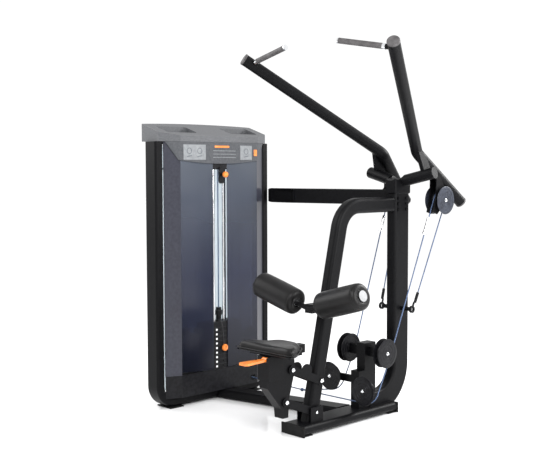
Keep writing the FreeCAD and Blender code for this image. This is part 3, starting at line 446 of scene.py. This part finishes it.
def build_covers():
    """Stepped covers of all the open pulleys, and the guard inside the tower."""
    for side, way in (("right", 1), ("left", -1)):
        centre = mirrored(LOWER_PULLEY, way)
        for label, facing in (("outer", 1), ("inner", -1)):
            start = centre + X * facing * COVER_REACH
            bolted = facing == 1 or way == -1
            name = f"cover_{side}_{label}"
            disc(name, start, X * facing, MATERIALS["pulley_black"], "frame", bolted)
    for side, centre in zip(("right", "left"), TURN_PULLEYS):
        start = centre - Y * COVER_REACH
        disc(f"turn_cover_{side}", start, -Y, MATERIALS["pulley_black"], "frame")
    mesh = bmesh.new()
    turns = [math.pi * step / 24 for step in range(25)]
    outline = [GUARD + (Y * math.cos(turn) + Z * math.sin(turn)) * GUARD_RADIUS for turn in turns]
    foot = Vector((GUARD.x, GUARD.y, GUARD_FOOT))
    outline += [foot - Y * GUARD_RADIUS, foot + Y * GUARD_RADIUS]
    plate(mesh, outline, 0.004, X)
    finish_mesh("tower_guard", mesh, MATERIALS["pulley_black"], "frame")
    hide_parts("pulley_covers")
    for side, way in (("right", 1), ("left", -1)):
        centre = mirrored(ARM_PULLEY, way)
        for facing in (-1, 1):
            start = centre + X * facing * ARM_COVER_REACH
            name = f"arm_cover_{side}_{facing}"
            body = f"arm_{side}_body"
            disc(name, start, X * facing, MATERIALS["cover_blue_grey"], body)
        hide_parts(f"arm_disc_{side}")


LINK_HALF = 0.042


def build_link_bolts():
    """Bright bolt heads at the ends of both seat links."""
    links = (("upper", UPPER_REAR, UPPER_FRONT), ("lower", LOWER_REAR, LOWER_FRONT))
    for link, *ends in links:
        for index, end in enumerate(ends):
            for way in (-1, 1):
                start = end + X * way * LINK_HALF
                add_bolt(f"link_{link}_{index}_{way + 1}", start, X * way, f"{link}_link", 1.05)


# ---------- soft parts ----------

def settle(piece, start_scale, cap):
    """Inflates a padded piece a little with the cloth solver and keeps it near its start."""
    bpy.context.view_layer.objects.active = piece
    remesh = piece.modifiers.new("remesh", "REMESH")
    remesh.mode = "VOXEL"
    remesh.voxel_size = 0.006
    bpy.ops.object.modifier_apply(modifier="remesh")
    middle = sum((vertex.co for vertex in piece.data.vertices), Vector()) / len(piece.data.vertices)
    for vertex in piece.data.vertices:
        vertex.co = middle + (vertex.co - middle) * start_scale
    before = [vertex.co.copy() for vertex in piece.data.vertices]
    cloth = piece.modifiers.new("cloth", "CLOTH")
    cloth.settings.use_pressure = True
    cloth.settings.uniform_pressure_force = 4
    cloth.settings.effector_weights.gravity = 0
    cloth.settings.quality = 5
    scene = bpy.context.scene
    for step in range(1, 21):
        scene.frame_set(step)
    swollen = piece.evaluated_get(bpy.context.evaluated_depsgraph_get()).to_mesh()
    after = [vertex.co.copy() for vertex in swollen.vertices]
    piece.modifiers.remove(cloth)
    scene.frame_set(1)
    for vertex, old, new in zip(piece.data.vertices, before, after):
        move = new - old
        if move.length > cap:
            move = move.normalized() * cap
        vertex.co = old + move


def seat_outline(inset=0.0):
    """Plan outline of the seat, rounded at every corner."""
    corners = [
        (-0.190, -1.006, 0.030), (0.190, -1.006, 0.030), (0.186, -0.958, 0.045),
        (0.070, -0.806, 0.045), (-0.070, -0.806, 0.045), (-0.186, -0.958, 0.045),
    ]
    points = []
    count = len(corners)
    for index in range(count):
        x, y, radius = corners[index]
        here = Vector((x, y, 0))
        back = (Vector((*corners[index - 1][:2], 0)) - here).normalized()
        ahead = (Vector((*corners[(index + 1) % count][:2], 0)) - here).normalized()
        start = here + back * radius
        end = here + ahead * radius
        for step in range(7):
            share = step / 6
            points.append(start * (1 - share) ** 2 + here * 2 * share * (1 - share) + end * share ** 2)
    middle = sum(points, Vector()) / len(points)
    return [point + (middle - point).normalized() * inset for point in points]


SEAT_LOW = 0.4283
SEAT_TOP = 0.4715
SEAT_SEAM = 0.4415


def build_seat():
    """Seat cushion: vinyl over foam, with a piped seam round its edge."""
    mesh = bmesh.new()
    levels = ((0.4285, 0.010), (0.436, 0.001), (0.452, 0.0), (0.463, 0.006), (0.4685, 0.022))
    rings = []
    for height, inset in levels:
        rings.append([mesh.verts.new(point + Z * height) for point in seat_outline(inset)])
    for low, high in zip(rings[:-1], rings[1:]):
        for index in range(len(low)):
            after = (index + 1) % len(low)
            mesh.faces.new([low[index], low[after], high[after], high[index]])
    mesh.faces.new(rings[0][::-1])
    mesh.faces.new(rings[-1])
    piece = finish_mesh("seat_cushion", mesh, MATERIALS["seat_vinyl"], None, 80)
    settle(piece, 0.975, 0.006)
    sag_seat(piece)
    smooth = piece.modifiers.new("smooth", "SUBSURF")
    smooth.levels = 1
    smooth.render_levels = 1
    piece.data.shade_smooth()
    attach(piece, "seat")
    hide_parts("seat_pad")
    seam_line = [point + Z * SEAT_SEAM for point in seat_outline(-0.0012)]
    tube("seat_piping", seam_line, 0.0022, "seat", "seat_vinyl", True)
    base = bmesh.new()
    plate(base, [point + Z * SEAT_LOW for point in seat_outline(0.006)], 0.006, Z)
    board = finish_mesh("seat_board", base, MATERIALS["pulley_black"], "seat")


def sag_seat(piece):
    """Dishes the top of the cushion and keeps it within the CAD height."""
    for vertex in piece.data.vertices:
        here = vertex.co - HEAD_FOOT
        if here.z > 0.455:
            across = min(1.0, (here.x / 0.15) ** 2)
            along = min(1.0, ((here.y + 0.915) / 0.09) ** 2)
            dish = 0.006 * (1 - across) * (1 - along)
            ripple = 0.0006 * noise.noise(here * 22)
            here.z = min(here.z - dish + ripple, SEAT_TOP)
        here.z = max(here.z, SEAT_LOW)
        vertex.co = here + HEAD_FOOT


def tube(name, points, radius, body, slot, cyclic=False):
    """A round tube along a smooth curve."""
    curve = bpy.data.curves.new(name, "CURVE")
    curve.dimensions = "3D"
    curve.bevel_depth = radius
    curve.bevel_resolution = 6
    spline = curve.splines.new("POLY")
    spline.points.add(len(points) - 1)
    for target, point in zip(spline.points, points):
        target.co = (*(point + HEAD_FOOT), 1)
    spline.use_cyclic_u = cyclic
    curve.use_fill_caps = True
    line = bpy.data.objects.new(f"{name}_line", curve)
    bpy.context.scene.collection.objects.link(line)
    depsgraph = bpy.context.evaluated_depsgraph_get()
    data = bpy.data.meshes.new_from_object(line.evaluated_get(depsgraph))
    bpy.data.objects.remove(line)
    data.shade_smooth()
    piece = bpy.data.objects.new(name, data)
    bpy.context.scene.collection.objects.link(piece)
    data.materials.clear()
    data.materials.append(MATERIALS[slot])
    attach(piece, body)
    return piece


ROLLER_PROFILE = [
    (0.0222, 0.006), (0.034, 0.001), (0.046, 0.0005), (0.056, 0.004), (0.0630, 0.011), (0.0655, 0.016),
    (0.0640, 0.0185), (0.0645, 0.0195), (0.0662, 0.022), (0.0668, 0.040), (0.0672, 0.080), (0.0674, 0.120),
]


def build_roller(side, way):
    """Foam thigh roller under vinyl, stitched near both ends and slightly creased."""
    inner = mirrored(ROLLER_INNER, way)
    outer = mirrored(ROLLER_OUTER, way)
    length = (outer - inner).length
    profile = ROLLER_PROFILE + [(radius, length - height) for radius, height in reversed(ROLLER_PROFILE)]
    mesh = bmesh.new()
    axis = (outer - inner).normalized()
    lathe(mesh, profile, inner, axis, 96)
    for vertex in mesh.verts:
        along = (vertex.co - inner).dot(axis)
        out = (vertex.co - inner) - axis * along
        if out.length > 0.05:
            near_end = math.exp(-min(along, length - along) / 0.025)
            crease = 0.0009 * near_end * noise.noise(vertex.co * 60)
            wave = 0.0006 * noise.noise(vertex.co * 14)
            vertex.co += out.normalized() * (crease + wave)
    piece = finish_mesh(f"roller_pad_{side}", mesh, MATERIALS["seat_vinyl"], None, 60)
    smooth = piece.modifiers.new("smooth", "SUBSURF")
    smooth.levels = 1
    smooth.render_levels = 1
    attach(piece, f"roller_{side}")
    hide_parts(f"thigh_roller_{side}")


# ---------- tower ----------

REAR_X = -0.942


def tower_point(x, across, height):
    """A place given from the middle plane of the tower."""
    return Vector((x, TOWER_Y + across, height))


def build_tower_sheets():
    """Front sheet with a slot and a curved foot, and the frosted rear sheet."""
    half = 0.278
    slot = 0.051
    for side, way in (("near", -1), ("far", 1)):
        mesh = bmesh.new()
        count = 16
        foot = []
        for step in range(count + 1):
            across = slot + (half - slot) * step / count
            foot.append(tower_point(PANEL_X, way * across, 0.180 + 0.016 * (across / half) ** 2))
        outline = foot + [tower_point(PANEL_X, way * half, 1.36), tower_point(PANEL_X, way * slot, 1.36)]
        plate(mesh, outline, 0.0038, -X)
        piece = finish_mesh(f"front_sheet_{side}", mesh, MATERIALS["tinted_sheet"], "frame")
        soften(piece, 0.0008, 2)
        if way < 0:
            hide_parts("tower_panels")
    mesh = bmesh.new()
    wide, low, high = 0.358, 0.078, 1.43
    outline = ((-wide, low), (wide, low), (wide, high), (-wide, high))
    corners = [tower_point(REAR_X, y, z) for y, z in outline]
    plate(mesh, corners, 0.004, X)
    rear = finish_mesh("rear_sheet", mesh, FROSTED, "frame")
    soften(rear, 0.001, 2)
    mesh = bmesh.new()
    low, high = 1.300, 1.36
    inset = PANEL_X - 0.0005
    outline = ((-slot, low), (slot, low), (slot, high), (-slot, high))
    corners = [tower_point(inset, y, z) for y, z in outline]
    plate(mesh, corners, 0.0034, -X)
    bridge = finish_mesh("front_sheet_bridge", mesh, MATERIALS["pulley_black"], "frame")


def fold_point(across, offset):
    """A point of the tower's folded front, offset out from the sheets."""
    side = 1 if across > 0 else -1
    reach = abs(across)
    x = PANEL_X + offset
    if reach > 0.2805:
        x -= (reach - 0.2805) * 0.5217
    return Vector((x, TOWER_Y + side * reach, 0))


def build_placard():
    """Folded plate with a curved foot, two picture panels and plain coloured bars."""
    mesh = bmesh.new()
    columns = 48
    top = 1.448
    front = []
    for step in range(columns + 1):
        share = step / columns * 2 - 1
        upper = fold_point(share * 0.356, 0.0068)
        lower = fold_point(share * 0.292, 0.0068)
        foot = 1.330 + 0.020 * share * share
        front.append((lower + Z * foot, upper + Z * top))
    rings = []
    for depth in (0, -0.0046):
        back = X * depth
        rings.append([(mesh.verts.new(low + back), mesh.verts.new(high + back)) for low, high in front])
    for index in range(columns):
        (a, b), (c, d) = rings[0][index], rings[0][index + 1]
        mesh.faces.new([a, c, d, b])
        (e, f), (g, h) = rings[1][index], rings[1][index + 1]
        mesh.faces.new([f, h, g, e])
        mesh.faces.new([e, g, c, a])
        mesh.faces.new([b, d, h, f])
    for index in (0, columns):
        (a, b), (e, f) = rings[0][index], rings[1][index]
        mesh.faces.new([a, b, f, e])
    piece = finish_mesh("front_placard", mesh, MATERIALS["placard_grey"], "frame")
    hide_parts("placard")
    panel("picture_left", -0.185, 0.155, 1.392, 0.082, PICTURE)
    panel("picture_right", 0.190, 0.088, 1.392, 0.080, PICTURE)
    panel("orange_bar", 0.010, 0.105, 1.424, 0.011, MATERIALS["orange_plastic"])
    panel("orange_mark", 0.262, 0.024, 1.392, 0.036, MATERIALS["orange_plastic"])
    for row in range(3):
        panel(f"line_{row}", 0.028, 0.165, 1.401 - row * 0.018, 0.0028, PICTURE)
    for index, across in enumerate((-0.222, -0.150, 0.190)):
        figure(index, across)


def panel(name, across, wide, middle, tall, material):
    """A thin printed patch on the placard."""
    mesh = bmesh.new()
    x = PANEL_X + 0.0067
    corners = []
    for y, z in ((-1, -1), (1, -1), (1, 1), (-1, 1)):
        corners.append(tower_point(x, across + y * wide / 2, middle + z * tall / 2))
    plate(mesh, corners, 0.0007, X)
    piece = finish_mesh(name, mesh, material, "frame")


def figure(index, across):
    """A plain ring and bar inside a picture panel."""
    mesh = bmesh.new()
    centre = Vector((PANEL_X + 0.0074, TOWER_Y + across, 1.399))
    lathe(mesh, [(0.013, 0), (0.017, 0), (0.017, 0.0005), (0.013, 0.0005)], centre, X, 32, True)
    low = centre - Z * 0.034
    slanted = ((-0.017, 0.0), (0.017, 0.006), (0.017, 0.011), (-0.017, 0.005))
    corners = [low + Y * y + Z * z for y, z in slanted]
    plate(mesh, corners, 0.0005, X)
    piece = finish_mesh(f"figure_{index}", mesh, INK, "frame")


def build_labels():
    """Round white markers, one on each plate."""
    for index in range(ALL_PLATES):
        height = PLATE_TOP - index * PLATE_PITCH
        body = "lifted_weights" if index < LIFTED_PLATES else "frame"
        mesh = bmesh.new()
        centre = Vector((STACK.x + 0.038, STACK.y - 0.046, height))
        lathe(mesh, [(0.0, 0.0), (0.0062, 0.0), (0.0062, 0.0005), (0.0, 0.0006)], centre, X, 24)
        piece = finish_mesh(f"marker_{index}", mesh, LABEL, body)


# ---------- knobs and cables ----------

def build_knobs():
    """Turned orange knobs of the selector pin and the top pull."""
    pin_z = PLATE_TOP - (LIFTED_PLATES - 1) * PLATE_PITCH
    start = Vector((STACK.x + 0.0445, STACK.y, pin_z))
    mesh = bmesh.new()
    profile = [
        (0.0, 0.0), (0.010, 0.0), (0.012, 0.003), (0.0175, 0.004), (0.0190, 0.0065), (0.0190, 0.0120),
        (0.0175, 0.0155), (0.0120, 0.0160), (0.0095, 0.0140), (0.0085, 0.0110), (0.0, 0.0108),
    ]
    lathe(mesh, profile, start, X, 64)
    lathe(mesh, [(0.0, -0.044), (0.0047, -0.042), (0.0047, 0.001), (0.0, 0.001)], start, X, 32)
    pin = finish_mesh("pin_with_knob", mesh, MATERIALS["orange_plastic"], "pin")
    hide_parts("selector_pin")
    start = Vector((PANEL_X + 0.003, -0.575, 1.270))
    mesh = bmesh.new()
    profile = [
        (0.0, 0.0), (0.005, 0.0), (0.005, 0.026), (0.010, 0.027), (0.0155, 0.030),
        (0.017, 0.035), (0.0165, 0.042), (0.0130, 0.047), (0.0, 0.048),
    ]
    lathe(mesh, profile, start, X, 64)
    knob = finish_mesh("top_pull_knob", mesh, MATERIALS["orange_plastic"], "knob")
    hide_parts("top_knob")


STACK_CABLE_TOP = 1.360
STACK_HEAD = 0.520


def straight_tube(name, ends, radius, segments, slot):
    """A round mesh tube in short lengths."""
    mesh = bmesh.new()
    low, high = ends
    axis = high - low
    profile = [(radius, axis.length * step / segments) for step in range(segments + 1)]
    lathe(mesh, [(0.0, 0.0)] + profile + [(0.0, axis.length)], low, axis.normalized(), 16)
    piece = finish_mesh(name, mesh, MATERIALS[slot], None)
    return piece


def build_stack_cable():
    """Cable above the weights."""
    top = Vector((STACK.x, STACK.y, STACK_CABLE_TOP))
    low = Vector((STACK.x, STACK.y, STACK_HEAD))
    piece = straight_tube("stack_rope", (low, top), CABLE, 24, "cable_dark")
    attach(piece, "frame")
    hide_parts("stack_cable")
    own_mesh(piece)


# ---------- stage ----------

def build_stage():
    """Pale glossy floor with soft lights and a white surround."""
    made = Nodes("studio_floor")
    made.mottle(made.noise(0.6, 2), (0.90, 0.90, 0.905), (0.93, 0.93, 0.935))
    made.shader.inputs["Roughness"].default_value = 0.10
    made.bump(made.noise(2.0, 2), 0.01, 0.001)
    mesh = bmesh.new()
    corners = [mesh.verts.new((x * 30, y * 30, 0)) for x, y in ((-1, -1), (1, -1), (1, 1), (-1, 1))]
    mesh.faces.new(corners)
    floor = finish_mesh("studio_ground", mesh, made.material, None)
    world = bpy.data.worlds.new("studio")
    bpy.context.scene.world = world
    world.use_nodes = True
    sky = world.node_tree.nodes["Background"]
    sky.inputs["Color"].default_value = (1.0, 1.0, 1.0, 1)
    sky.inputs["Strength"].default_value = 1.05
    lamp("key", (2.6, -3.4, 3.6), 170, 2.4)
    lamp("fill", (-3.4, -2.6, 2.8), 90, 2.8)
    lamp("rim", (1.6, 3.4, 3.0), 200, 2.0)
    lamp("side", (4.0, 0.6, 1.8), 110, 1.6)


def lamp(name, place, power, size):
    light = bpy.data.lights.new(name, "AREA")
    light.energy = power
    light.size = size
    item = bpy.data.objects.new(name, light)
    item.location = Vector(place) + HEAD_FOOT
    aim = Vector((-0.3, -0.4, 0.8)) - Vector(place)
    item.rotation_euler = aim.to_track_quat("-Z", "Y").to_euler()
    bpy.context.scene.collection.objects.link(item)


def build_camera():
    camera = bpy.data.cameras.new("camera")
    camera.sensor_width = 36
    camera.lens = 62.2
    item = bpy.data.objects.new("camera", camera)
    item.location = Vector((3.275, -4.072, 1.303)) + HEAD_FOOT
    item.rotation_euler = (math.radians(90 - 3.61), math.radians(0.13), math.radians(45.92))
    bpy.context.scene.collection.objects.link(item)
    bpy.context.scene.camera = item
    bpy.context.scene.view_settings.view_transform = "Standard"


paint_nodes()
build_covers()
build_link_bolts()
build_seat()
build_roller("right", 1)
build_roller("left", -1)
build_tower_sheets()
build_placard()
build_labels()
build_knobs()
build_stack_cable()
build_stage()
build_camera()
